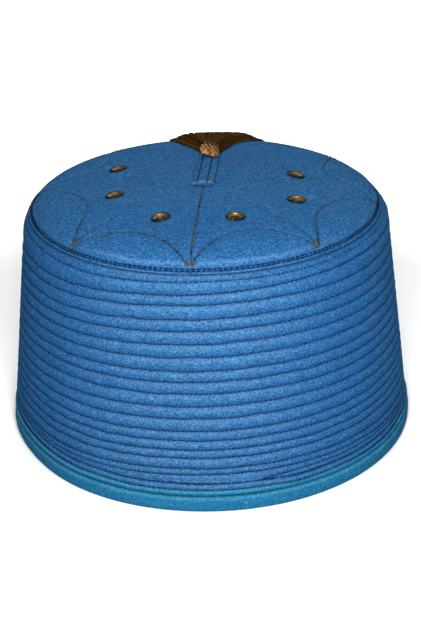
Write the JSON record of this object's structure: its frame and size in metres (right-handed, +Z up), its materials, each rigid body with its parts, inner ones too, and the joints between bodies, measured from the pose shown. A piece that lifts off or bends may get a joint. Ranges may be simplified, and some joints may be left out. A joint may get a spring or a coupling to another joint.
{
  "type": "felt skullcap",
  "caption": "Brimless felt cap with a stitched, ribbed side wall that tapers up to a domed crown, a bound rim, brass eyelets and a tassel that falls over the back.",
  "frame": {"origin": "on the floor, under the middle of the rim", "axes": "+Z up out of the rim towards the crown, +Y to the back, where the tassel falls, +X to the right as seen from the front"},
  "size_m": [0.19, 0.1958, 0.1221],
  "materials": {
    "blue_felt": "matte heathered felt",
    "teal_felt": "matte felt",
    "antique_brass": "darkened and worn",
    "gold_cord": "twisted satin cord",
    "brown_yarn": "soft matte yarn"
  },
  "bodies": {
    "root": {"crown": "blue_felt", "side_wall": "blue_felt", "rim_binding": "teal_felt", "eyelet_1": "antique_brass", "eyelet_2": "antique_brass", "eyelet_3": "antique_brass", "eyelet_4": "antique_brass", "eyelet_5": "antique_brass", "eyelet_6": "antique_brass", "tassel_tab": "blue_felt", "tassel_wrap": "gold_cord", "tassel_skirt": "brown_yarn"}
  },
  "joints": []
}
